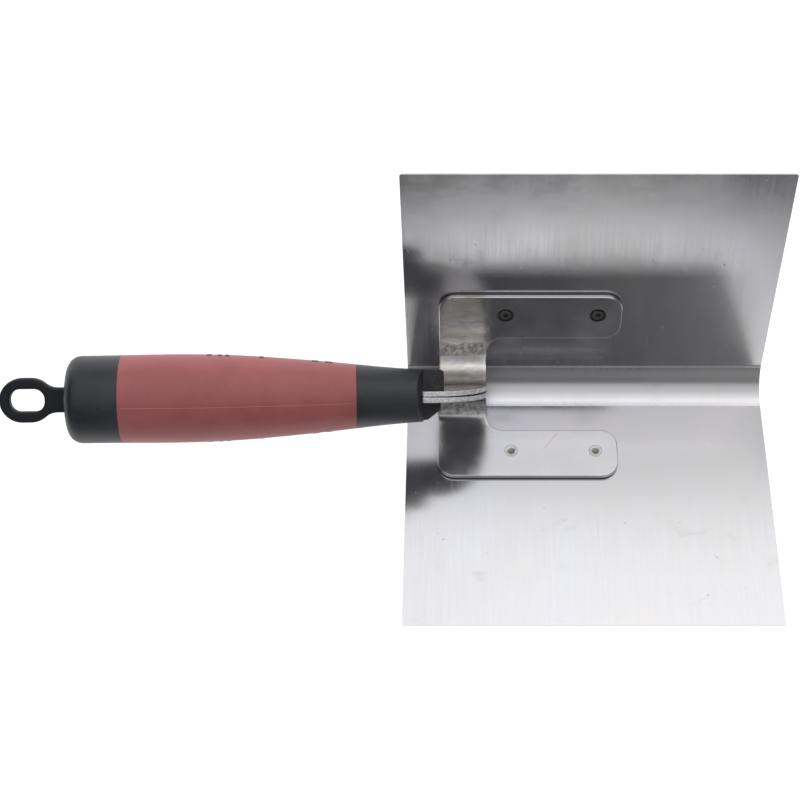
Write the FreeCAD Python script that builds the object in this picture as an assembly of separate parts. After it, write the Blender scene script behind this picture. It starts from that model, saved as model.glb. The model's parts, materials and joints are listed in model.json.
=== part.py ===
import FreeCAD, Part
import math
import os
from collections import namedtuple

from FreeCAD import Placement, Rotation, Vector

# Inside corner trowel. Millimetres. +X runs to the front of the blade, +Y to its left wing and
# +Z up to the handle. The origin is the lowest point of the folded crease, halfway along it.

# Blade: one thin sheet folded to an open V with a rounded crease.
BLADE_LENGTH = 127.0
WING_WIDTH = 94.0             # along the inner face, from the line where both inner faces would meet
OPENING_ANGLE = 103.0         # between the two wings
SHEET = 0.6
CREASE_RADIUS = 12.0          # of the inner face
BLADE_CORNER = 0.8

# Bracket: two bent plates, one foot on each wing, their upright flanges back to back.
PLATE = 2.0
STRAP_WIDTH = 16.6            # of the part that rises from the foot to the tang
STRAP_FRONT = -35.25          # front edge of the left strap
FOOT_REACH = 46.75            # how far the foot's arm runs ahead of the strap's front edge
FOOT_CORNER = 6.0
FOOT_THROAT = 6.0             # radius between strap and arm
PLATE_EDGE = 0.4              # rounding of the stamped rims
FLANGE_ROUND = 18.5           # quarter round from the strap's front edge back to the tang's top
FLANGE_ROUND_Z = 23.7         # height at which it starts
FLANGE_GAP = 0.7              # opening between the flanges at their front edge
FLANGE_GAP_REAR = 0.3         # and at the strap's rear edge
FLANGE_GAP_START = 4.0        # behind the strap's rear edge, where they part
TANG_OFFSET = 0.6             # of the tang and handle towards the left wing
TANG_SLOPE = 3.85             # degrees, top edge of the tang above level
TANG_DEPTH = 9.6              # height of the tang where it leaves the strap
TANG_END_DEPTH = 8.5
TANG_END = -134.0             # rear end of the tang, inside the handle
TANG_SHOULDER = -56.8         # behind this the tang is lower, and enters the handle
TANG_SHOULDER_DROP = 3.0
TANG_THROAT = 3.0             # radius under the tang, behind the strap
TANG_END_ROUND = 1.5

# Rivets: a flat head let into the foot, closed flush in the outer face of the sheet. The left
# heads are dished and stand in a wider pocket. The right heads fill theirs and have a set dimple.
RIVET_SHANK = 3.5             # diameter
RIVET_SEAT = 0.6              # depth of the head's seat below the foot's face
RIVET_HEAD_BEVEL = 0.15
RIVET_FLARE = 5.0
RIVET_FLARE_DEPTH = 0.5
Head = namedtuple("Head", "diameter rise pocket dimple dimple_depth")
DISHED_HEAD = Head(4.4, 0.0, 5.8, 3.4, 0.25)
DIMPLED_HEAD = Head(4.6, 0.08, 4.6, 3.0, 0.45)

# The plates are not quite alike. The setback is of the rear edge and the arm's tip. Rivets are
# (x, distance along the wing).
Plate = namedtuple("Plate", "side setback bend_radius foot_inner foot_outer head rivets")
PLATES = (
    Plate("left", 0.0, 9.5, 24.4, 43.6, DISHED_HEAD, {"rear": (-28.8, 35.3), "front": (3.1, 35.3)}),
    Plate("right", 0.6, 7.5, 20.6, 39.2, DIMPLED_HEAD, {"rear": (-26.6, 29.1), "front": (3.1, 29.1)}),
)

# Handle: turned along its own axis, which rises to the rear. Stations are (distance, radius).
HANDLE_NOSE = Vector(-49.8, TANG_OFFSET, 36.8)
HANDLE_PITCH = 5.5
HANDLE_STATIONS = ((0, 8.6), (18, 9.6), (36, 11.45), (54, 13.1), (72, 14.3), (91, 14.65), (110, 14.45))
BUTT_START = 119.0            # where the butt's corner round starts
BUTT_RADIUS = 14.4
BUTT_CORNER = 4.4
BUTT_DOME = 0.6
NOSE_LENGTH = 29.4
BUTT_LINE = 106.3             # grip ends here
NOSE_SKIN = 1.3
GRIP_SKIN = 2.6
BUTT_SKIN = 3.2               # over the end of the core
CORE_RIB = 1.0
CORE_RIB_WIDTH = 2.5
CORE_RIBS = (38.0, 66.0, 98.0)
NOSE_ROUND = 1.2

# The nose is stepped down to a shelf that leaves the tang's top free. Right of the tang its front
# is set back and its corner is cut off upright, with a chamfer along the cut.
SHELF_RISE = 0.3              # above the handle axis
SHELF_LENGTH = 7.0            # back from the nose end to the foot of the step
STEP_LEAN = 18.0              # degrees the step's face leans back
CORNER_FRONT = Vector(-51.0, -4.4, 0)     # where the cut meets the front
CORNER_ANGLE = 40.0           # degrees between the cut and the X axis
CHAMFER_POINT = Vector(-53.3, -3.7, 38.0)
CHAMFER_NORMAL = Vector(0.324, -0.629, 0.707)

# Tang rivet: clamps the flanges together and keys them into the core.
TANG_RIVET_X = -92.0
TANG_RIVET_SHANK = 3.0
TANG_RIVET_HEAD = 5.6
TANG_RIVET_HEAD_HEIGHT = 1.6

# Hang ring: a flat eye on a stem, keyed into the core by a foot.
RING_THICKNESS = 4.0
RING_RADIUS = 7.3
RING_REAR = 138.4             # centre of the far round, along the handle axis
RING_FRONT = 135.7            # centre of the near round
RING_THROAT = 6.0
RING_EDGE = 0.9
STEM_WIDTH = 8.1
STEM_START = 110.5
STEM_FOOT_WIDTH = 13.0
STEM_FOOT_LENGTH = 3.5
HOLE_START = 131.2
HOLE_LENGTH = 11.1
HOLE_WIDTH = 7.5
HOLE_CORNER = 3.4

# Worked out from the dimensions above.
TILT = math.radians((180.0 - OPENING_ANGLE) / 2)
SIN, COS = math.sin(TILT), math.cos(TILT)
CREASE_CENTRE = CREASE_RADIUS + SHEET
APEX = CREASE_CENTRE - CREASE_RADIUS / COS
WING_NORMAL = Vector(0, -SIN, COS)
BIG = 400.0


def wing_point(x, along, above):
    """A point on the left wing: along it from the apex line, and above its inner face."""
    return Vector(x, along * COS - above * SIN, APEX + along * SIN + above * COS)


def mirrored(shape):
    return shape.mirror(Vector(0, 0, 0), Vector(0, 1, 0))


def line(start, end):
    return Part.makeLine(start, end)


def arc(centre, start, end):
    """The short arc from start to end about centre, on a circle in the plane of the three."""
    middle = (start + end) * 0.5 - centre
    middle.normalize()
    return Part.Arc(start, centre + middle * start.distanceToPoint(centre), end).toShape()


def polygon_face(points):
    return Part.Face(Part.makePolygon(list(points) + [points[0]]))


def edges_along(shape, direction, near, reach=0.5):
    """Straight edges that run along direction and pass within reach of the point near."""
    found = []
    for edge in shape.Edges:
        if edge.Curve.TypeId != "Part::GeomLine":
            continue
        along = abs(edge.tangentAt(edge.FirstParameter).dot(direction))
        if along > 0.999 and edge.distToShape(Part.Vertex(near))[0] < reach:
            found.append(edge)
    return found


# ---------------------------------------------------------------- blade and rivets

def blade_profile():
    """Cross-section of the V, as a face at the rear end of the blade."""
    rear = -BLADE_LENGTH / 2
    centre = Vector(rear, 0, CREASE_CENTRE)
    bend_along = CREASE_RADIUS * math.tan(TILT)
    edges = []
    rims = []
    for above in (0, -SHEET):
        tip = wing_point(rear, WING_WIDTH, above)
        bend = wing_point(rear, bend_along, above)
        other_tip = Vector(rear, -tip.y, tip.z)
        other_bend = Vector(rear, -bend.y, bend.z)
        bottom = Vector(rear, 0, CREASE_CENTRE - CREASE_RADIUS + above)
        edges.append(line(tip, bend))
        edges.append(Part.Arc(bend, bottom, other_bend).toShape())
        edges.append(line(other_bend, other_tip))
        rims.append((tip, other_tip))
    edges.append(line(rims[0][0], rims[1][0]))
    edges.append(line(rims[0][1], rims[1][1]))
    return Part.Face(Part.Wire(Part.__sortEdges__(edges)))


def rivet_body(head):
    """A rivet on a wing's inner face at the origin, its axis along +Z."""
    shank = RIVET_SHANK / 2
    rim = head.diameter / 2
    flare = RIVET_FLARE / 2
    seat = PLATE - RIVET_SEAT
    top = PLATE + head.rise
    points = (
        Vector(0, 0, -SHEET),
        Vector(flare, 0, -SHEET),
        Vector(shank, 0, RIVET_FLARE_DEPTH - SHEET),
        Vector(shank, 0, seat),
        Vector(rim, 0, seat),
        Vector(rim, 0, top - RIVET_HEAD_BEVEL),
        Vector(rim - RIVET_HEAD_BEVEL, 0, top),
        Vector(head.dimple / 2, 0, top),
        Vector(0, 0, top - head.dimple_depth),
    )
    return polygon_face(points).revolve(Vector(0, 0, 0), Vector(0, 0, 1), 360)


def pocket_body(head):
    """What the head's pocket takes out of the foot."""
    return Part.makeCylinder(head.pocket / 2, PLATE, Vector(0, 0, PLATE - RIVET_SEAT))


def on_foot(plate, spot, body):
    """A body made at the origin, moved to a rivet's place on the left wing."""
    x, along = plate.rivets[spot]
    body.Placement = Placement(wing_point(x, along, 0), Rotation(Vector(0, 0, 1), WING_NORMAL))
    return body


def placed_rivet(plate, spot):
    rivet = on_foot(plate, spot, rivet_body(plate.head))
    return rivet if plate.side == "left" else mirrored(rivet)


def blade(rivets):
    sheet = blade_profile().extrude(Vector(BLADE_LENGTH, 0, 0))
    corners = [edge for edge in sheet.Edges if abs(edge.Length - SHEET) < 0.01]
    sheet = sheet.makeFillet(BLADE_CORNER, corners)
    return sheet.cut(rivets)


# ---------------------------------------------------------------- bracket plates

def flange_face(plate):
    """Where the flange's inner face stands, measured towards the plate's own wing."""
    return TANG_OFFSET if plate.side == "left" else -TANG_OFFSET


def bend_centre(plate):
    """Centre line of the bend between foot and flange, as (y, z)."""
    outer = plate.bend_radius + PLATE
    y = outer + flange_face(plate)
    return y, APEX + (outer + y * SIN) / COS


def foot_profile(plate):
    """Section of foot and bend across the crease, up to where the flange stands upright."""
    y, z = bend_centre(plate)
    centre = Vector(-BIG / 2, y, z)
    normal = WING_NORMAL
    tip = wing_point(-BIG / 2, plate.foot_outer, 0)
    rims = []
    edges = []
    for radius, above in ((plate.bend_radius + PLATE, 0), (plate.bend_radius, PLATE)):
        outer_tip = tip + normal * above
        landing = centre - normal * radius
        upright = centre - Vector(0, radius, 0)
        edges.append(line(outer_tip, landing))
        edges.append(arc(centre, landing, upright))
        rims.append((outer_tip, upright))
    edges.append(line(rims[0][0], rims[1][0]))
    edges.append(line(rims[0][1], rims[1][1]))
    return Part.Face(Part.Wire(Part.__sortEdges__(edges)))


def strap_rear(plate):
    return STRAP_FRONT - STRAP_WIDTH - plate.setback


def foot_outline(plate):
    """Prism square to the wing that cuts strap and arm out of the folded strip."""
    front = STRAP_FRONT
    rear = strap_rear(plate)
    reach = front + FOOT_REACH - plate.setback
    inner, outer = plate.foot_inner, plate.foot_outer
    corners = ((rear, 0), (front, 0), (front, inner), (reach, inner), (reach, outer), (rear, outer))
    below = -BIG / 8
    face = polygon_face([wing_point(x, along, below) for x, along in corners])
    prism = face.extrude(WING_NORMAL * (BIG / 4))
    rounds = []
    for x, along in corners[3:]:
        rounds += edges_along(prism, WING_NORMAL, wing_point(x, along, 0))
    prism = prism.makeFillet(FOOT_CORNER, rounds)
    throat = edges_along(prism, WING_NORMAL, wing_point(front, inner, 0))
    return prism.makeFillet(FOOT_THROAT, throat)


def tang_top(x):
    """Height of the tang's top edge, which leaves the flange's front round at a tangent."""
    slope = math.radians(TANG_SLOPE)
    touch_x = STRAP_FRONT - FLANGE_ROUND * (1 - math.sin(slope))
    touch_z = FLANGE_ROUND_Z + FLANGE_ROUND * math.cos(slope)
    return touch_z + (touch_x - x) * math.tan(slope)


def flange_slab(plate, inner, thickness):
    """Strap top, tang and the round that joins them, as a slab whose lower Y is inner."""
    front = STRAP_FRONT
    rear = strap_rear(plate)
    bottom = bend_centre(plate)[1]
    throat = Vector(rear, 0, tang_top(rear) - TANG_DEPTH)
    end_low = Vector(TANG_END, 0, tang_top(TANG_END) - TANG_END_DEPTH)
    end_high = Vector(TANG_END, 0, tang_top(TANG_END) - TANG_SHOULDER_DROP)
    shoulder = Vector(TANG_SHOULDER, 0, tang_top(TANG_SHOULDER))
    corner = Vector(front, 0, tang_top(front))
    across = Vector(0, 1, 0)
    outline = (
        Vector(rear, 0, bottom),
        throat,
        end_low,
        end_high,
        shoulder - Vector(0, 0, TANG_SHOULDER_DROP),
        shoulder,
        corner,
        Vector(front, 0, bottom),
    )
    slab = polygon_face(outline).extrude(across * thickness)
    slab = slab.makeFillet(FLANGE_ROUND, edges_along(slab, across, corner))
    slab = slab.makeFillet(TANG_THROAT, edges_along(slab, across, throat))
    ends = edges_along(slab, across, end_low) + edges_along(slab, across, end_high)
    return slab.makeFillet(TANG_END_ROUND, ends).translated(across * inner)


def flange(plate):
    """The upright half of a plate."""
    return flange_slab(plate, flange_face(plate), PLATE)


def tang_slot():
    """The space of both flanges, which the core leaves free."""
    return flange_slab(PLATES[0], TANG_OFFSET - PLATE, 2 * PLATE)


def flange_gap(plate):
    """Thin wedge that opens the back-to-back faces towards their front edge."""
    front = STRAP_FRONT
    rear = strap_rear(plate)
    start = rear - FLANGE_GAP_START
    wedge = (
        Vector(start, 0, 0),
        Vector(rear, FLANGE_GAP_REAR / 2, 0),
        Vector(front, FLANGE_GAP / 2, 0),
        Vector(front + 1, FLANGE_GAP / 2, 0),
        Vector(front + 1, -1, 0),
        Vector(start, -1, 0),
    )
    block = polygon_face(wedge).extrude(Vector(0, 0, BIG / 4))
    return block.translated(Vector(0, flange_face(plate), 0))


def rim_edges(shape):
    """The edges around the plate that a stamping leaves rounded."""
    found = []
    for edge in shape.Edges:
        if edge.Length < 4 * PLATE_EDGE:
            continue
        faces = shape.ancestorsOfType(edge, Part.Face)
        if len(faces) != 2:
            continue
        normals = []
        point = edge.valueAt((edge.FirstParameter + edge.LastParameter) / 2)
        for face in faces:
            u, v = face.Surface.parameter(point)
            normals.append(face.normalAt(u, v))
        if abs(normals[0].dot(normals[1])) < 0.3:
            found.append(edge)
    return found


def bracket_plate(plate, rivets):
    strip = foot_profile(plate).extrude(Vector(BIG, 0, 0))
    shape = strip.common(foot_outline(plate))
    shape = shape.fuse(flange(plate)).removeSplitter()
    shape = shape.makeFillet(PLATE_EDGE, rim_edges(shape))
    shape = shape.cut(flange_gap(plate))
    shape = shape.cut([on_foot(plate, spot, pocket_body(plate.head)) for spot in plate.rivets])
    if plate.side == "right":
        shape = mirrored(shape)
    return shape.cut(rivets)


def tang_rivet():
    """Two domed heads on a shank, across the tang."""
    depth = (TANG_DEPTH + TANG_END_DEPTH) / 2
    height = tang_top(TANG_RIVET_X) - (depth + TANG_SHOULDER_DROP) / 2
    head = TANG_RIVET_HEAD / 2
    rise = TANG_RIVET_HEAD_HEIGHT
    radius = (head ** 2 + rise ** 2) / (2 * rise)
    body = Part.makeCylinder(TANG_RIVET_SHANK / 2, 2 * PLATE, Vector(0, 0, -PLATE))
    for way in (1, -1):
        ball = Part.makeSphere(radius, Vector(0, 0, way * (PLATE + rise - radius)))
        low = PLATE if way > 0 else -PLATE - rise
        slab = Part.makeBox(2 * head, 2 * head, rise, Vector(-head, -head, low))
        body = body.fuse(ball.common(slab))
    body.Placement = Placement(Vector(TANG_RIVET_X, TANG_OFFSET, height), Rotation(Vector(1, 0, 0), 90))
    return body


# ---------------------------------------------------------------- handle

def handle_placement():
    """Local Z runs rearward along the handle, local X points up from it."""
    return Placement(HANDLE_NOSE, Rotation(Vector(0, 1, 0), HANDLE_PITCH - 90))


def turned(stations, end, radius, corner, dome):
    """A turned solid through the stations, with a rounded and slightly domed rear end."""
    points = [Vector(r, 0, u) for u, r in stations] + [Vector(radius, 0, end)]
    curve = Part.BSplineCurve()
    curve.interpolate(points)
    centre = Vector(radius - corner, 0, end)
    shoulder = centre + Vector(0, 0, corner)
    tip = Vector(0, 0, end + corner + dome)
    rise = Vector(shoulder.x / 2, 0, shoulder.z + 0.75 * dome)
    nose = Vector(0, 0, stations[0][0])
    edges = [
        line(nose, points[0]),
        curve.toShape(),
        arc(centre, points[-1], shoulder),
        Part.Arc(shoulder, rise, tip).toShape(),
        line(tip, nose),
    ]
    return Part.Face(Part.Wire(edges)).revolve(Vector(0, 0, 0), Vector(0, 0, 1), 360)


def skin_at(u):
    """Thickness of the moulded skin over the core: thin at the nose, full under the grip."""
    return NOSE_SKIN + (GRIP_SKIN - NOSE_SKIN) * min(1.0, u / NOSE_LENGTH)


def handle_outside():
    body = turned(HANDLE_STATIONS, BUTT_START, BUTT_RADIUS, BUTT_CORNER, BUTT_DOME)
    rim = [edge for edge in body.Edges if abs(edge.BoundBox.ZMax) < 0.01 and edge.BoundBox.XLength > 1]
    return body.makeFillet(NOSE_ROUND, rim)


def core_outside():
    """The core under the skins, with ribs that key the soft grip."""
    stations = [(u, r - skin_at(u)) for u, r in HANDLE_STATIONS]
    corner = BUTT_CORNER - GRIP_SKIN
    end = BUTT_START + BUTT_CORNER - BUTT_SKIN - corner
    body = turned(stations, end, BUTT_RADIUS - GRIP_SKIN, corner, BUTT_DOME)
    outside = handle_outside()
    for u in CORE_RIBS:
        band = Part.makeCylinder(BUTT_RADIUS + 1, CORE_RIB_WIDTH, Vector(0, 0, u))
        swollen = [(a, b - skin_at(a) + CORE_RIB) for a, b in HANDLE_STATIONS]
        rib = turned(swollen, end, BUTT_RADIUS - GRIP_SKIN + CORE_RIB, corner, BUTT_DOME)
        body = body.fuse(rib.common(band))
    return body.common(outside)


def corner_cut():
    """What is taken off in front of and beside the right half of the nose."""
    angle = math.radians(CORNER_ANGLE)
    rear = CORNER_FRONT - Vector(math.cos(angle), math.sin(angle), 0) * (3 * BUTT_RADIUS)
    inner = TANG_OFFSET - PLATE
    outline = (
        Vector(CORNER_FRONT.x, inner, 0),
        CORNER_FRONT,
        rear,
        Vector(0, rear.y, 0),
        Vector(0, inner, 0),
    )
    return polygon_face(outline).extrude(Vector(0, 0, BIG / 4))


def chamfer_cut():
    """Everything above the chamfer's plane, over the shelf."""
    block = Part.makeBox(BIG, BIG, BIG, Vector(-BIG / 2, -BIG / 2, 0))
    block.Placement = Placement(CHAMFER_POINT, Rotation(Vector(0, 0, 1), CHAMFER_NORMAL))
    return block.common(axial_band(-1, SHELF_LENGTH))


def nose_cut():
    """What the step, the corner cut and its chamfer take off the nose, in the shared frame."""
    high = 2 * BUTT_RADIUS
    lean = (high - SHELF_RISE) * math.tan(math.radians(STEP_LEAN))
    section = (
        Vector(SHELF_RISE, -BUTT_RADIUS, -1),
        Vector(SHELF_RISE, -BUTT_RADIUS, SHELF_LENGTH),
        Vector(high, -BUTT_RADIUS, SHELF_LENGTH + lean),
        Vector(high, -BUTT_RADIUS, -1),
    )
    step = polygon_face(section).extrude(Vector(0, 2 * BUTT_RADIUS, 0))
    step.Placement = handle_placement()
    return [step, corner_cut(), chamfer_cut()]


def axial_band(start, end):
    """A thick disc about the handle axis from start to end."""
    disc = Part.makeCylinder(2 * BUTT_RADIUS, end - start, Vector(0, 0, start))
    disc.Placement = handle_placement()
    return disc


def hang_ring():
    """Flat eye, stem and foot, lying level across the handle axis."""
    half = RING_THICKNESS / 2
    up = Vector(1, 0, 0)

    def disc(u):
        return Part.makeCylinder(RING_RADIUS, RING_THICKNESS, Vector(-half, 0, u), up)

    def slab(width, start, end):
        return Part.makeBox(RING_THICKNESS, width, end - start, Vector(-half, -width / 2, start))

    eye = disc(RING_FRONT).fuse(disc(RING_REAR)).fuse(slab(2 * RING_RADIUS, RING_FRONT, RING_REAR))
    body = eye.fuse(slab(STEM_WIDTH, STEM_START, RING_FRONT)).removeSplitter()
    neck = RING_FRONT - math.sqrt(RING_RADIUS ** 2 - (STEM_WIDTH / 2) ** 2)
    necks = []
    for side in (1, -1):
        necks += edges_along(body, up, Vector(0, side * STEM_WIDTH / 2, neck))
    body = body.makeFillet(RING_THROAT, necks)
    hole = slab(HOLE_WIDTH, HOLE_START, HOLE_START + HOLE_LENGTH)
    hole = hole.makeFillet(HOLE_CORNER, [edge for edge in hole.Edges if edge.BoundBox.XLength > half])
    body = body.cut(hole)
    flat = [edge for edge in body.Edges if edge.BoundBox.XLength < 0.01]
    body = body.makeFillet(RING_EDGE, [edge for edge in flat if edge.BoundBox.ZMax > STEM_START + 1])
    body = body.fuse(slab(STEM_FOOT_WIDTH, STEM_START, STEM_START + STEM_FOOT_LENGTH))
    body.Placement = handle_placement()
    return body


def handle_parts(key, ring):
    """Core, nose, grip and butt, each fitted round the tang and the ring's stem."""
    outside = handle_outside()
    core = core_outside()
    for body in (outside, core):
        body.Placement = handle_placement()
    shell = outside.cut(core)
    slot = tang_slot()
    nose = shell.common(axial_band(0, NOSE_LENGTH)).cut(slot).cut(nose_cut())
    return {
        "handle_core": core.cut(slot).cut(key).cut(ring).cut(nose_cut()),
        "nose_sleeve": nose,
        "grip_sleeve": shell.common(axial_band(NOSE_LENGTH, BUTT_LINE)),
        "butt_cap": shell.common(axial_band(BUTT_LINE, BIG / 2)).cut(ring),
    }


# ---------------------------------------------------------------- assembly

def all_nodes():
    nodes = {}
    for plate in PLATES:
        for spot in plate.rivets:
            nodes[f"rivet_{plate.side}_{spot}"] = placed_rivet(plate, spot)
    rivets = list(nodes.values())
    key = tang_rivet()
    ring = hang_ring()
    plates = {f"bracket_plate_{plate.side}": bracket_plate(plate, rivets + [key]) for plate in PLATES}
    nodes["blade"] = blade(rivets)
    nodes.update(plates)
    nodes["tang_rivet"] = key
    nodes["hang_ring"] = ring
    nodes.update(handle_parts(key, ring))
    return nodes


os.makedirs("parts", exist_ok=True)
for name, shape in all_nodes().items():
    shape.exportStep(f"parts/{name}.step")
    box = shape.BoundBox
    print(name, shape.isValid(), len(shape.Solids), round(shape.Volume, 1),
          [round(v, 2) for v in (box.XMin, box.YMin, box.ZMin, box.XMax, box.YMax, box.ZMax)])
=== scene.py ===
import json
import math

import bpy
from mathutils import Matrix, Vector
from mathutils.bvhtree import BVHTree


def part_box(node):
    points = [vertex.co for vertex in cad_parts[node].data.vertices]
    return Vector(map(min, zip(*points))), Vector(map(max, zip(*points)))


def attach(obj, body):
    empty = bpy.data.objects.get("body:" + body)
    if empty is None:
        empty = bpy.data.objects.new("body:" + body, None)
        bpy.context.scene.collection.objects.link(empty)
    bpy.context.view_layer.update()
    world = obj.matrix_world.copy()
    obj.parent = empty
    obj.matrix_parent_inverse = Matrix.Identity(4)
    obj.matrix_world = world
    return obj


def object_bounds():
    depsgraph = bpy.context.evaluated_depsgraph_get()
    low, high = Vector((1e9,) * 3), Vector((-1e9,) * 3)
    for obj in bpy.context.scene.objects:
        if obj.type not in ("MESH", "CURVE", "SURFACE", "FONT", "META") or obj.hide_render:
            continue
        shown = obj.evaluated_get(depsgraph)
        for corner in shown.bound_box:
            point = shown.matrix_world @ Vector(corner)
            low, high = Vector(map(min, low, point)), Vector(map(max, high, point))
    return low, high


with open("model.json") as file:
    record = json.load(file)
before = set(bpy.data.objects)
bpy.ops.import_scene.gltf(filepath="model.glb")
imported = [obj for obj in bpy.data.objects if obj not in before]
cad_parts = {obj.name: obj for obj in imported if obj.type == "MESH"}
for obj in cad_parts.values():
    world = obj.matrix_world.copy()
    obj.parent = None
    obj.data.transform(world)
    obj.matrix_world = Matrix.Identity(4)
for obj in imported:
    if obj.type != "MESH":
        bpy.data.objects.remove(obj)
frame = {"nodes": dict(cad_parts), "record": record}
cad_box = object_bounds()
NODES = frame["nodes"]
HANG_HOLE = next(mount for mount in frame["record"]["mounts"] if mount["name"] == "hang_hole")
MM = 0.001


# ---------------------------------------------------------------- camera

CAMERA_PLACE = Vector((-40.1, 60.4, 518.8)) * MM
CAMERA_ROLL = math.radians(7.26)      # the camera leans this much towards the left wing
CAMERA_SENSOR = 36.0
CAMERA_LENS = 64.9
CAMERA_SHIFT_X = -0.091


def make_camera():
    """Looks almost straight down on the tool."""
    data = bpy.data.cameras.new("camera")
    data.lens = CAMERA_LENS
    data.sensor_width = CAMERA_SENSOR
    data.shift_x = CAMERA_SHIFT_X
    data.clip_start = 0.01
    data.clip_end = 20.0
    camera = bpy.data.objects.new("camera", data)
    bpy.context.scene.collection.objects.link(camera)
    camera.location = CAMERA_PLACE
    camera.rotation_euler = (-CAMERA_ROLL, 0.0, 0.0)
    bpy.context.scene.camera = camera


make_camera()


# ---------------------------------------------------------------- node helpers

class Tree:
    """A material's node tree with short calls to add and join nodes."""

    def __init__(self, name):
        self.material = bpy.data.materials.new(name)
        self.material.use_nodes = True
        self.nodes = self.material.node_tree.nodes
        self.links = self.material.node_tree.links
        self.nodes.clear()
        self.output = self.nodes.new("ShaderNodeOutputMaterial")
        self.shader = self.nodes.new("ShaderNodeBsdfPrincipled")
        self.links.new(self.shader.outputs[0], self.output.inputs["Surface"])

    def add(self, kind, settings=None, **inputs):
        node = self.nodes.new("ShaderNode" + kind)
        for key, value in (settings or {}).items():
            setattr(node, key, value)
        for key, value in inputs.items():
            self.feed(node.inputs[key.replace("_", " ")], value)
        return node

    def feed(self, socket, value):
        if isinstance(value, bpy.types.NodeSocket):
            self.links.new(value, socket)
        else:
            socket.default_value = value

    def place(self):
        """Position in the shared frame, in metres."""
        return self.add("TexCoord").outputs["Object"]

    def scaled(self, vector, scale):
        """The position stretched by three factors."""
        node = self.add("Mapping", {"vector_type": "POINT"}, Vector=vector, Scale=scale)
        return node.outputs[0]

    def noise(self, vector, scale, detail=3.0, roughness=0.5, distortion=0.0):
        node = self.add("TexNoise", None, Vector=vector, Scale=scale, Detail=detail,
                        Roughness=roughness, Distortion=distortion)
        return node.outputs["Fac"]

    def ramp(self, value, low, high, to_low=0.0, to_high=1.0):
        node = self.add("MapRange", {"interpolation_type": "SMOOTHSTEP"})
        self.feed(node.inputs["Value"], value)
        node.inputs["From Min"].default_value = low
        node.inputs["From Max"].default_value = high
        node.inputs["To Min"].default_value = to_low
        node.inputs["To Max"].default_value = to_high
        return node.outputs["Result"]

    def math(self, operation, a, b=0.0):
        node = self.add("Math", {"operation": operation})
        self.feed(node.inputs[0], a)
        self.feed(node.inputs[1], b)
        return node.outputs[0]

    def product(self, first, *others):
        for other in others:
            first = self.math("MULTIPLY", first, other)
        return first

    def total(self, first, *others):
        for other in others:
            first = self.math("ADD", first, other)
        return first

    def axis(self, vector, name):
        """One coordinate of a vector."""
        return self.add("SeparateXYZ", None, Vector=vector).outputs[name]

    def offset(self, place, point):
        """The place measured from a fixed point."""
        node = self.add("VectorMath", {"operation": "SUBTRACT"})
        self.feed(node.inputs[0], place)
        node.inputs[1].default_value = point
        return node.outputs[0]

    def band(self, value, middle, inner, outer):
        """1 up to the inner distance from the middle value, 0 from the outer distance on."""
        distance = self.math("ABSOLUTE", self.math("SUBTRACT", value, middle))
        return self.ramp(distance, inner, outer, 1.0, 0.0)

    def mix(self, factor, a, b):
        node = self.add("Mix", {"data_type": "RGBA"})
        self.feed(node.inputs[0], factor)
        self.feed(node.inputs[6], a)
        self.feed(node.inputs[7], b)
        return node.outputs[2]

    def bump(self, height, strength, distance, under=None):
        node = self.add("Bump", None, Height=height, Strength=strength, Distance=distance)
        if under is not None:
            self.links.new(under, node.inputs["Normal"])
        return node.outputs[0]

    def set(self, **inputs):
        for key, value in inputs.items():
            self.feed(self.shader.inputs[key.replace("_", " ")], value)


def rgb(red, green, blue):
    return (red, green, blue, 1.0)


# ---------------------------------------------------------------- materials

COOL_STEEL = rgb(0.615, 0.617, 0.665)
WARM_STEEL = rgb(0.652, 0.64, 0.645)
DULL_STEEL = rgb(0.36, 0.35, 0.34)
OILED_STEEL = rgb(0.41, 0.385, 0.345)
# Painted shade on the straps, with the handle's painted reflection on the right one.
PAINTED_SHADE_STEEL = rgb(0.22, 0.225, 0.255)
# Painted highlight: the near-white colour of the witness line.
WITNESS_HIGHLIGHT = rgb(0.95, 0.94, 0.93)
WORN_DARK = rgb(0.3, 0.305, 0.315)
WORN_LIGHT = rgb(0.4, 0.4, 0.405)
SCORED_STEEL = rgb(0.2, 0.2, 0.21)
SCUFF_PIT = rgb(0.29, 0.28, 0.28)
SCUFF_STEEL = rgb(0.72, 0.69, 0.65)
SHEARED_DARK = rgb(0.72, 0.71, 0.76)
SHEARED_LIGHT = rgb(1.0, 1.0, 1.0)
# Painted shade: the near-black at the foot of the feet's rims and in the left rivets' pockets.
RIM_SHADE_DARK = rgb(0.09, 0.088, 0.092)
NICK_BLACK = rgb(0.006, 0.006, 0.007)

TILT = math.radians(38.5)                 # of each wing above level
WING_DROP = 2.139 * MM                    # of the plane of a wing's inner face below the origin
WITNESS_Y = 6.6 * MM                      # the press brake's line, on the left of the crease
CREASE_FULL = 4.0 * MM                    # the crease is roughest up to here from the centre plane
CREASE_END = 9.0 * MM
TANG_Y = HANG_HOLE["pos_m"][1]            # the tang and the handle share one upright plane
TANG_HALF = 2.1 * MM
STRAP_FRONT = -34.5 * MM                  # X at which the straps pass into the feet's arms
LEFT_OIL_START = 1.5 * MM
# Painted shade: the middle of the band across the left strap's bend.
LEFT_PAINTED_SHADE_Y = 10.6 * MM
LEFT_SCUFF_Y = 14.2 * MM
# Painted shade: Y at which the painted reflection on the right strap starts.
RIGHT_PAINTED_SHADE_START = -3.0 * MM
RIGHT_SCUFF_Y = -7.4 * MM
RIM_FOOT = 0.6 * MM                       # painted shade covers the rims up to here above the wing
FACE_FOOT = 1.55 * MM                     # and painted shade covers the pockets up to here, just below the plate's face
POCKET_RADIUS = 3.3 * MM
SCRATCH_MIDDLE = Vector((-12.7, -18.5, 0.0)) * MM


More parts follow.
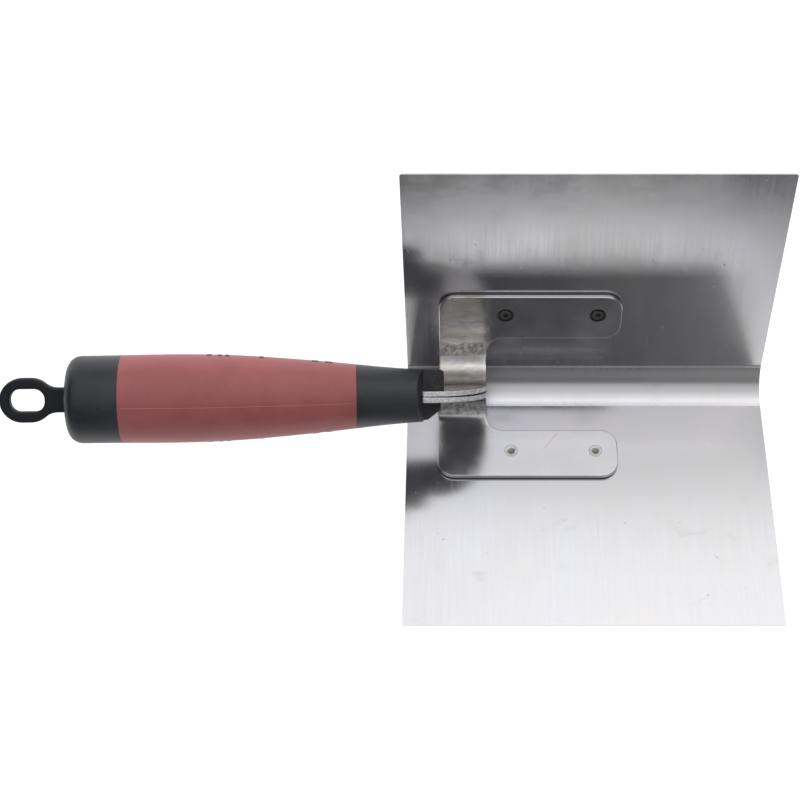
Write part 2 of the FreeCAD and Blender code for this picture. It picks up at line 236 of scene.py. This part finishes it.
def wing_height(tree, place):
    """Height above the plane of the wing's inner face, the same on both wings."""
    across = tree.math("ABSOLUTE", tree.axis(place, "Y"))
    rise = tree.math("ADD", tree.math("MULTIPLY", tree.axis(place, "Z"), math.cos(TILT)), WING_DROP)
    return tree.math("SUBTRACT", rise, tree.math("MULTIPLY", across, math.sin(TILT)))


def blade_steel():
    """Cold-rolled stainless with a fine grain across the wings, which blurs reflections along the crease."""
    tree = Tree("blade_steel")
    place = tree.place()
    grain = tree.noise(tree.scaled(place, (2600.0, 50.0, 50.0)), 1.0, 2.0)
    clouds = tree.noise(tree.scaled(place, (30.0, 16.0, 16.0)), 1.0, 4.0, 0.6)
    smears = tree.noise(tree.scaled(place, (60.0, 140.0, 140.0)), 1.0, 5.0, 0.65, 0.6)
    specks = tree.ramp(tree.noise(place, 620.0, 2.0), 0.745, 0.79)
    outside = tree.ramp(wing_height(tree, place), -0.6 * MM, -0.45 * MM, 1.0, 0.0)
    witness = witness_line(tree, place)
    crease = tree.ramp(tree.math("ABSOLUTE", tree.axis(place, "Y")), CREASE_FULL, CREASE_END, 0.13, 0.0)
    colour = tree.mix(tree.ramp(clouds, 0.35, 0.7), COOL_STEEL, WARM_STEEL)
    colour = tree.mix(tree.product(rim_stain(tree, place), 0.5), colour, OILED_STEEL)
    colour = tree.mix(tree.ramp(smears, 0.62, 0.72, 0.0, 0.06), colour, DULL_STEEL)
    colour = tree.mix(outside, colour, working_face(tree, place))
    # The witness line is a real mark, bumped and rougher; its near-white colour is a painted highlight.
    colour = tree.mix(tree.product(witness, 0.85), colour, WITNESS_HIGHLIGHT)
    roughness = tree.total(tree.ramp(clouds, 0.3, 0.7, 0.17, 0.22), tree.ramp(grain, 0.3, 0.7, 0.0, 0.03),
                           tree.ramp(smears, 0.58, 0.74, 0.0, 0.04), tree.product(specks, 0.25),
                           tree.product(outside, 0.12), tree.total(crease, tree.product(witness, 0.5)))
    normal = tree.bump(grain, 0.04, 0.0001)
    normal = tree.bump(witness, 0.3, 0.0001, normal)
    wobble = tree.ramp(clouds, 0.2, 0.8, -0.06, 0.06)
    along = tree.add("CombineXYZ", None, X=1.0, Y=wobble).outputs[0]
    tree.set(Base_Color=colour, Metallic=1.0, Roughness=roughness, Normal=normal,
             Anisotropic=0.6, Tangent=along)
    return tree.material


def working_face(tree, place):
    """The outer faces, dulled and scored along X by use."""
    scores = tree.noise(tree.scaled(place, (9.0, 900.0, 900.0)), 1.0, 4.0, 0.6)
    worn = tree.noise(tree.scaled(place, (25.0, 60.0, 60.0)), 1.0, 4.0, 0.6)
    shade = tree.mix(tree.ramp(worn, 0.3, 0.7), WORN_DARK, WORN_LIGHT)
    return tree.mix(tree.ramp(scores, 0.56, 0.72, 0.0, 0.5), shade, SCORED_STEEL)


def rim_stain(tree, place):
    """Patches of old oil along the outer edge of the left wing, most of all at the rear."""
    top = tree.ramp(tree.axis(place, "Y"), 55.0 * MM, 73.0 * MM)
    rear = tree.ramp(tree.axis(place, "X"), -50.0 * MM, 30.0 * MM, 1.0, 0.35)
    patches = tree.noise(tree.scaled(place, (70.0, 110.0, 110.0)), 1.0, 5.0, 0.6)
    return tree.product(top, rear, tree.ramp(patches, 0.42, 0.62))


def witness_line(tree, place):
    """The fine line that the press brake left along the left side of the crease."""
    return tree.band(tree.axis(place, "Y"), WITNESS_Y, 0.12 * MM, 0.4 * MM)


def rim_and_pocket_shade(tree, place):
    """Painted shade at the foot of the feet's stamped rims, where they meet the wing, and on the floors of
    the left foot's rivet pockets.
    """
    height = wing_height(tree, place)
    dark = tree.ramp(height, RIM_FOOT, RIM_FOOT + 0.35 * MM, 1.0, 0.0)
    below_face = tree.ramp(height, FACE_FOOT, FACE_FOOT + 0.25 * MM, 1.0, 0.0)
    for node in ("rivet_left_rear", "rivet_left_front"):
        pocket = tree.ramp(head_radius(tree, place, node), POCKET_RADIUS, POCKET_RADIUS + 0.2 * MM, 1.0, 0.0)
        dark = tree.math("MAXIMUM", dark, tree.product(below_face, pocket))
    return tree.product(dark, tree.ramp(height, -0.6 * MM, 0.0, 0.0, 1.0))


def foot_scratch(tree, place):
    """A fine slanting scratch on the right foot, between its rivets."""
    offset = tree.offset(place, SCRATCH_MIDDLE)
    along = tree.axis(offset, "X")
    across = tree.axis(offset, "Y")
    off_line = tree.math("ABSOLUTE", tree.math("SUBTRACT", along, across))
    from_middle = tree.math("ABSOLUTE", tree.math("ADD", along, across))
    return tree.product(tree.ramp(off_line, 0.1 * MM, 0.35 * MM, 1.0, 0.0),
                        tree.ramp(from_middle, 4.0 * MM, 6.0 * MM, 1.0, 0.0))


def tang_rims(tree, place):
    """The sheared top and front of the two flanges."""
    facing = tree.axis(tree.add("TexCoord").outputs["Normal"], "Y")
    edge_on = tree.ramp(tree.math("ABSOLUTE", facing), 0.55, 0.85, 1.0, 0.0)
    return tree.product(edge_on, tree.band(tree.axis(place, "Y"), TANG_Y, TANG_HALF, TANG_HALF + 0.3 * MM))


def strap_oil(tree, place):
    """Brown tint and drawing marks on the left strap, behind the foot's arm."""
    behind = tree.ramp(tree.axis(place, "X"), STRAP_FRONT - 2.5 * MM, STRAP_FRONT, 1.0, 0.0)
    left = tree.ramp(tree.axis(place, "Y"), LEFT_OIL_START, LEFT_OIL_START + 1.5 * MM)
    patches = tree.noise(tree.scaled(place, (150.0, 260.0, 260.0)), 1.0, 5.0, 0.6, 0.4)
    return tree.product(behind, left, tree.ramp(patches, 0.36, 0.58, 0.45, 1.0))


def strap_painted_shade(tree, place):
    """Painted shade behind the feet's arms: a painted reflection of the dark handle on the right strap, and
    a band of painted shade across the left one's bend.
    """
    across = tree.axis(place, "Y")
    behind = tree.ramp(tree.axis(place, "X"), STRAP_FRONT - 5.5 * MM, STRAP_FRONT, 1.0, 0.0)
    right = tree.ramp(across, RIGHT_PAINTED_SHADE_START - 4.0 * MM, RIGHT_PAINTED_SHADE_START, 0.7, 0.0)
    left = tree.band(across, LEFT_PAINTED_SHADE_Y, 0.6 * MM, 2.2 * MM)
    patches = tree.noise(tree.scaled(place, (400.0, 260.0, 260.0)), 1.0, 5.0, 0.7)
    return tree.product(behind, tree.math("MAXIMUM", left, right), tree.ramp(patches, 0.3, 0.65, 0.6, 1.0))


def strap_scuff(tree, place):
    """Bands scuffed by the bending tool: on the left strap's bend and where the right one meets the tang."""
    across = tree.axis(place, "Y")
    behind = tree.ramp(tree.axis(place, "X"), STRAP_FRONT - 2.5 * MM, STRAP_FRONT - 0.5 * MM, 1.0, 0.0)
    left = tree.band(across, LEFT_SCUFF_Y, 1.2 * MM, 3.0 * MM)
    right = tree.band(across, RIGHT_SCUFF_Y, 1.4 * MM, 3.2 * MM)
    patches = tree.ramp(tree.noise(place, 260.0, 4.0, 0.7), 0.38, 0.52, 0.3, 1.0)
    return tree.product(tree.math("MAXIMUM", left, right), behind, patches)


def bracket_steel():
    """Stamped and bent plate: satin faces, painted shade at the feet's rims and on the straps, sheared tang,
    oil and scuffs.
    """
    tree = Tree("bracket_steel")
    place = tree.place()
    clouds = tree.noise(place, 90.0, 5.0, 0.65)
    pits = tree.noise(place, 1300.0, 2.0)
    grit = tree.ramp(tree.noise(place, 650.0, 4.0, 0.65), 0.42, 0.58)
    shear = tree.noise(tree.scaled(place, (900.0, 1400.0, 300.0)), 1.0, 5.0, 0.7)
    rim_shade = rim_and_pocket_shade(tree, place)
    tang = tang_rims(tree, place)
    oil = strap_oil(tree, place)
    scuff = strap_scuff(tree, place)
    scratch = foot_scratch(tree, place)
    sheared = tree.mix(tree.ramp(shear, 0.35, 0.62), SHEARED_DARK, SHEARED_LIGHT)
    colour = tree.mix(tree.ramp(clouds, 0.3, 0.7), COOL_STEEL, WARM_STEEL)
    colour = tree.mix(tree.product(oil, 0.85), colour, OILED_STEEL)
    # Painted shade and the handle's painted reflection on the straps.
    colour = tree.mix(tree.product(strap_painted_shade(tree, place), 0.6), colour, PAINTED_SHADE_STEEL)
    colour = tree.mix(tree.product(scuff, 0.8), colour, tree.mix(grit, SCUFF_PIT, SCUFF_STEEL))
    colour = tree.mix(tree.product(scratch, 0.35), colour, DULL_STEEL)
    # Painted shade where the feet meet the wing and in the left rivets' pockets.
    colour = tree.mix(tree.product(rim_shade, 0.9), colour, RIM_SHADE_DARK)
    colour = tree.mix(tang, colour, sheared)
    roughness = tree.total(tree.ramp(clouds, 0.25, 0.75, 0.19, 0.26), tree.product(rim_shade, 0.2),
                           tree.product(tang, 0.42), tree.product(scuff, 0.3))
    normal = tree.bump(pits, 0.05, 0.0001)
    normal = tree.bump(tree.product(oil, clouds), 0.25, 0.0004, normal)
    normal = tree.bump(scuff, 0.5, 0.0002, normal)
    normal = tree.bump(scratch, -0.4, 0.0001, normal)
    normal = tree.bump(tree.product(shear, tree.math("MAXIMUM", rim_shade, tang)), 0.5, 0.0003, normal)
    tree.set(Base_Color=colour, Metallic=1.0, Roughness=roughness, Normal=normal)
    return tree.material


def head_radius(tree, place, node):
    """Distance from a rivet's axis."""
    low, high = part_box(node)
    axis = (Vector(low) + Vector(high)) / 2
    side = 1.0 if axis.y > 0 else -1.0
    offset = tree.offset(place, axis)
    slope = tree.add("VectorMath", {"operation": "DOT_PRODUCT"})
    tree.feed(slope.inputs[0], offset)
    slope.inputs[1].default_value = Vector((0.0, side * math.cos(TILT), math.sin(TILT)))
    up = slope.outputs["Value"]
    across = tree.axis(offset, "X")
    return tree.math("SQRT", tree.math("ADD", tree.product(across, across), tree.product(up, up)))


def rivet_steel(node, middle, disc, rim, middle_radius, rim_radius):
    """A set rivet head, with its own colour in the middle, on the disc and around the rim; a near-black rim
    is painted shade, the dark ring round the head.
    """
    tree = Tree(node)
    place = tree.place()
    pits = tree.noise(place, 1600.0, 3.0, 0.6)
    ragged = tree.ramp(pits, 0.3, 0.7, -0.25 * MM, 0.25 * MM)
    radius = tree.math("ADD", head_radius(tree, place, node), ragged)
    from_middle = tree.ramp(radius, 0.6 * middle_radius, middle_radius)
    colour = tree.mix(from_middle, middle, disc)
    # Painted shade: the rim colour, near-black on the left heads, darkens the ring round the head.
    colour = tree.mix(tree.ramp(radius, rim_radius, rim_radius + 0.15 * MM), colour, rim)
    roughness = tree.math("SUBTRACT", 0.55, tree.product(from_middle, 0.15))
    tree.set(Base_Color=colour, Metallic=1.0, Roughness=roughness, Normal=tree.bump(pits, 0.35, 0.0003))
    return tree.material


def soft_skin(name, dark, light, low=0.42, high=0.56, nicked=0.0):
    """Soft moulded skin with a fine matt grain, and dark nicks where it has been knocked."""
    tree = Tree(name)
    place = tree.place()
    clouds = tree.noise(place, 55.0, 4.0, 0.6)
    grain = tree.noise(place, 1500.0, 2.0)
    nicks = tree.product(tree.ramp(tree.noise(place, 330.0, 2.0), 0.69, 0.73), nicked)
    colour = tree.mix(tree.ramp(clouds, 0.3, 0.7), dark, light)
    colour = tree.mix(nicks, colour, NICK_BLACK)
    roughness = tree.ramp(clouds, 0.3, 0.7, low, high)
    normal = tree.bump(nicks, -0.3, 0.0003, tree.bump(grain, 0.12, 0.0003))
    tree.set(Base_Color=colour, Roughness=roughness, Normal=normal)
    return tree.material


def rough_core():
    """Hard filled plastic, milled back at the nose: mottled and without sheen."""
    tree = Tree("core_black")
    place = tree.place()
    mottle = tree.noise(place, 420.0, 5.0, 0.7)
    grain = tree.noise(place, 1800.0, 3.0)
    colour = tree.mix(tree.ramp(mottle, 0.35, 0.68), rgb(0.013, 0.013, 0.015), rgb(0.062, 0.059, 0.058))
    normal = tree.bump(mottle, 0.35, 0.0005, tree.bump(grain, 0.3, 0.0003))
    tree.set(Base_Color=colour, Roughness=tree.ramp(mottle, 0.3, 0.7, 0.55, 0.8), Normal=normal)
    return tree.material


# Each foot's rivet heads: colour of the middle, of the disc and of the rim, and where the last two start.
# The left heads' near-black rim is painted shade.
RIVET_HEADS = {
    "left": (rgb(0.05, 0.05, 0.047), rgb(0.16, 0.165, 0.155), rgb(0.025, 0.025, 0.025), 1.2 * MM, 1.95 * MM),
    "right": (rgb(0.34, 0.31, 0.275), rgb(0.64, 0.635, 0.65), rgb(0.63, 0.63, 0.645), 1.5 * MM, 2.1 * MM),
}


def dress(node, material):
    """Gives a CAD node one material in all its slots."""
    mesh = NODES[node].data
    mesh.materials.clear()
    mesh.materials.append(material)


def dress_steel():
    dress("blade", blade_steel())
    bracket = bracket_steel()
    for node in ("bracket_plate_left", "bracket_plate_right", "tang_rivet"):
        dress(node, bracket)
    for side, head in RIVET_HEADS.items():
        for spot in ("rear", "front"):
            node = f"rivet_{side}_{spot}"
            dress(node, rivet_steel(node, *head))


def dress_handle():
    """Dresses the handle and returns the skins' materials by node."""
    black = soft_skin("black_skin", rgb(0.017, 0.0185, 0.026), rgb(0.034, 0.0365, 0.05), 0.36, 0.48, 0.7)
    red = soft_skin("red_skin", rgb(0.40, 0.105, 0.108), rgb(0.47, 0.135, 0.138))
    skins = {"nose_sleeve": black, "grip_sleeve": red, "butt_cap": black}
    for node, skin in skins.items():
        dress(node, skin)
    dress("handle_core", rough_core())
    dress("hang_ring", soft_skin("ring_black", rgb(0.002, 0.004, 0.009), rgb(0.004, 0.007, 0.014), 0.6, 0.7))
    return skins


dress_steel()
SKINS = dress_handle()


# ---------------------------------------------------------------- small pieces on the handle

AXIS_POINT = Vector(HANG_HOLE["pos_m"])           # on the handle's axis
AXIS_UP = Vector(HANG_HOLE["axis"])
SIDEWAYS = Vector((0.0, 1.0, 0.0))
AXIS_FORWARD = SIDEWAYS.cross(AXIS_UP)
OUTSIDE = 50.0 * MM                               # farther from the axis than any skin

PARTING_ANGLES = {"top": math.radians(-5.5), "under": math.radians(174.5)}
RIDGE_HALF_WIDTH = 0.2 * MM
RIDGE_HEIGHT = 0.07 * MM
RIDGE_STEPS = 60
RIDGE_GAP = 0.4 * MM                              # between a ridge and the seam beside it
RIDGE_END = 12.0 * MM                             # from the nose's front, and onto the butt

SEAM_RADIUS = 0.16 * MM
SEAM_SINK = 0.7                                   # of the radius
SEAM_INSET = 0.05 * MM
SEAM_SIDES = 8
SEAM_STEPS = 96

# Raised bars of ink on the grip's sides, as (start, length) in mm ahead of the grip's rear end.
BARS = ((29.0, 1.8), (32.6, 1.5), (35.0, 1.5), (46.0, 1.7), (63.2, 2.5), (67.5, 2.7))
BAR_SIDES = {"left": math.radians(90.0), "right": math.radians(-90.0)}
BAR_HALF_ANGLE = math.radians(12.0)
BAR_HEIGHT = 0.12 * MM
BAR_PROFILE = (-0.5, 0.6, 0.9, 1.0)               # of the height, from the border inwards
BAR_STEPS = 12


def joint_x(rear_node, front_node):
    """X at which the handle's axis passes from one skin to the next."""
    return (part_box(rear_node)[1][0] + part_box(front_node)[0][0]) / 2


def skin_tree(node):
    mesh = NODES[node].data
    return BVHTree.FromPolygons([vertex.co for vertex in mesh.vertices],
                                [polygon.vertices for polygon in mesh.polygons])


def surface(skin, x, angle):
    """The point of the skin at one angle about the axis, 0 on top and 90 to the left, and the way out."""
    out = AXIS_UP * math.cos(angle) + SIDEWAYS * math.sin(angle)
    centre = AXIS_POINT + AXIS_FORWARD * ((x - AXIS_POINT.x) / AXIS_FORWARD.x)
    return skin.ray_cast(centre + out * OUTSIDE, -out)[0], out


def piece(name, points, faces, material):
    """A small smooth mesh that rides on the tool."""
    mesh = bpy.data.meshes.new(name)
    mesh.from_pydata(points, [], faces)
    mesh.validate()
    mesh.shade_smooth()
    mesh.materials.append(material)
    body = bpy.data.objects.new(name, mesh)
    bpy.context.scene.collection.objects.link(body)
    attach(body, "root")


def ridge(name, skin, x_from, x_to, angle, material):
    """The fine ridge that the moulds leave along a skin, sunk at both ends."""
    points = []
    for step in range(RIDGE_STEPS + 1):
        spot, out = surface(skin, x_from + (x_to - x_from) * step / RIDGE_STEPS, angle)
        across = out.cross(AXIS_FORWARD) * RIDGE_HALF_WIDTH
        sunk = out * RIDGE_HEIGHT
        crest = sunk if 0 < step < RIDGE_STEPS else -sunk
        points += [spot + across - sunk, spot + crest, spot - across - sunk]
    last = 3 * RIDGE_STEPS
    faces = [(0, 1, 2), (last + 2, last + 1, last)]
    for first in range(0, last, 3):
        for a, b in ((0, 1), (1, 2), (2, 0)):
            faces.append((first + a, first + a + 3, first + b + 3, first + b))
    piece(name, points, faces, material)


def seam(name, skin, x, material):
    """A thin dark ring, mostly sunk in the joint between two skins."""
    points = []
    faces = []
    for step in range(SEAM_STEPS):
        spot, out = surface(skin, x, 2 * math.pi * step / SEAM_STEPS)
        here = step * SEAM_SIDES
        after = (step + 1) % SEAM_STEPS * SEAM_SIDES
        for side in range(SEAM_SIDES):
            turn = 2 * math.pi * side / SEAM_SIDES
            beside = (side + 1) % SEAM_SIDES
            rise = out * (math.cos(turn) - SEAM_SINK)
            points.append(spot + (rise + AXIS_FORWARD * math.sin(turn)) * SEAM_RADIUS)
            faces.append((here + side, after + side, after + beside, here + beside))
    piece(name, points, faces, material)


def bar(name, skin, x, length, middle, material):
    """One raised bar of ink, bent round the grip, with its border sunk in the skin."""
    points = []
    for row in range(BAR_STEPS + 1):
        angle = middle + BAR_HALF_ANGLE * (2 * row / BAR_STEPS - 1)
        for column in range(BAR_STEPS + 1):
            spot, out = surface(skin, x + length * column / BAR_STEPS, angle)
            inside = min(row, column, BAR_STEPS - row, BAR_STEPS - column)
            height = BAR_PROFILE[min(inside, len(BAR_PROFILE) - 1)]
            points.append(spot + out * height * BAR_HEIGHT)
    faces = []
    for row in range(BAR_STEPS):
        for column in range(BAR_STEPS):
            first = row * (BAR_STEPS + 1) + column
            faces.append((first, first + 1, first + BAR_STEPS + 2, first + BAR_STEPS + 1))
    piece(name, points, faces, material)


def handle_details():
    """Parting ridges on all three skins, seams between them, and the bars on the grip."""
    nose_joint = joint_x("grip_sleeve", "nose_sleeve")
    butt_joint = joint_x("butt_cap", "grip_sleeve")
    nose, grip, butt = [skin_tree(node) for node in ("nose_sleeve", "grip_sleeve", "butt_cap")]
    # The grip's parting ridges are real; their lighter red is a painted highlight.
    ridge_highlight = soft_skin("red_ridge_highlight", rgb(0.5, 0.19, 0.19), rgb(0.56, 0.24, 0.24))
    ink = soft_skin("ink", rgb(0.014, 0.014, 0.016), rgb(0.022, 0.022, 0.025), 0.4, 0.5)
    nose_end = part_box("nose_sleeve")[1][0] - RIDGE_END
    for place, angle in PARTING_ANGLES.items():
        ridge("parting_nose_" + place, nose, nose_joint + RIDGE_GAP, nose_end, angle, SKINS["nose_sleeve"])
        ridge("parting_grip_" + place, grip, butt_joint + RIDGE_GAP, nose_joint - RIDGE_GAP, angle, ridge_highlight)
        ridge("parting_butt_" + place, butt, butt_joint - RIDGE_END, butt_joint - RIDGE_GAP, angle,
              SKINS["butt_cap"])
    seam("seam_nose", grip, nose_joint - SEAM_INSET, ink)
    seam("seam_butt", grip, butt_joint + SEAM_INSET, ink)
    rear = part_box("grip_sleeve")[0][0]
    for number, (start, length) in enumerate(BARS):
        for side, middle in BAR_SIDES.items():
            bar(f"bar_{side}_{number}", grip, rear + start * MM, length * MM, middle, ink)


handle_details()


# ---------------------------------------------------------------- floor and light

FLOOR_COLOUR = 0.5
FLOOR_GLOW = 0.9         # the floor is a lit table, so the part throws almost no shadow
FLOOR_HALF = 4.0
FLOOR_DROP = 0.2 * MM
LIGHT_DISTANCE = 2.0
LIGHT_AIM_HEIGHT = 0.03  # above the crease
ROOM_LIGHT = 0.05

# Each soft box spans two angles about a line above the crease (0 is level on the right wing's side,
# 90 is straight up, 180 is level on the left wing's side) and a stretch of X in metres. The last
# number is its brightness. The spans were set one by one. The brightnesses began as a least-squares fit
# that a scratch program printed, and were then rounded, and about half of them changed, by hand.
SOFT_BOXES = (
    ("low_strip", 0.0, 13.8, -0.2, 0.45, 1.36),
    ("low_strip_front", 0.0, 13.8, 0.45, 2.0, 0.5),
    ("low_rear", 0.0, 60.0, -2.0, -0.4, 0.35),
    ("fill_front", 24.0, 60.0, 0.2, 2.0, 0.33),
    ("fill_gap_low", 60.0, 67.5, 0.33, 2.0, 0.42),
    ("fill_gap", 67.5, 79.0, 0.33, 2.0, 0.2),
    ("overhead_right", 79.0, 92.0, -2.0, 2.0, 0.64),
    ("overhead", 92.0, 112.0, -2.0, 2.0, 0.75),
    ("overhead_left", 112.0, 130.0, -0.4, 2.0, 1.12),
    ("window_high", 130.0, 144.0, -0.4, 2.0, 1.6),
    ("window", 144.0, 156.0, -0.4, 2.0, 1.4),
    ("window_low", 156.0, 166.0, -0.4, 2.0, 0.6),
    ("window_sill", 165.0, 180.0, -0.4, 2.0, 0.7),
    ("window_rear", 112.0, 180.0, -2.0, -0.4, 0.62),
)


def make_floor():
    """A plain white table top, just below the tool."""
    height = cad_box[0].z - FLOOR_DROP
    signs = ((-1, -1), (1, -1), (1, 1), (-1, 1))
    mesh = bpy.data.meshes.new("floor")
    mesh.from_pydata([(x * FLOOR_HALF, y * FLOOR_HALF, height) for x, y in signs], [], [(0, 1, 2, 3)])
    floor = bpy.data.objects.new("floor", mesh)
    bpy.context.scene.collection.objects.link(floor)
    tree = Tree("floor")
    tree.set(Base_Color=rgb(FLOOR_COLOUR, FLOOR_COLOUR, FLOOR_COLOUR), Roughness=0.9,
             Specular_IOR_Level=0.0, Emission_Color=rgb(1.0, 1.0, 1.0), Emission_Strength=FLOOR_GLOW)
    mesh.materials.append(tree.material)


def soft_box(name, angle_from, angle_to, x_from, x_to, brightness):
    """A rectangular light of even brightness, unseen by the camera and facing the tool."""
    angle = math.radians((angle_from + angle_to) / 2)
    middle = (x_from + x_to) / 2
    data = bpy.data.lights.new(name, "AREA")
    data.shape = "RECTANGLE"
    data.size = x_to - x_from
    data.size_y = 2 * LIGHT_DISTANCE * math.tan(math.radians(angle_to - angle_from) / 2)
    data.energy = math.pi * data.size * data.size_y * brightness
    light = bpy.data.objects.new(name, data)
    bpy.context.scene.collection.objects.link(light)
    aim = Vector((middle, 0.0, LIGHT_AIM_HEIGHT))
    light.location = aim + LIGHT_DISTANCE * Vector((0.0, -math.cos(angle), math.sin(angle)))
    light.rotation_euler = (aim - light.location).to_track_quat("-Z", "Y").to_euler()
    light.visible_camera = False


def make_world(strength):
    world = bpy.data.worlds.new("world")
    world.use_nodes = True
    background = world.node_tree.nodes["Background"]
    background.inputs["Color"].default_value = rgb(1.0, 1.0, 1.0)
    background.inputs["Strength"].default_value = strength
    bpy.context.scene.world = world


def make_light():
    for box in SOFT_BOXES:
        soft_box(*box)
    make_world(ROOM_LIGHT)


make_floor()
make_light()
bpy.context.scene.view_settings.view_transform = "Standard"
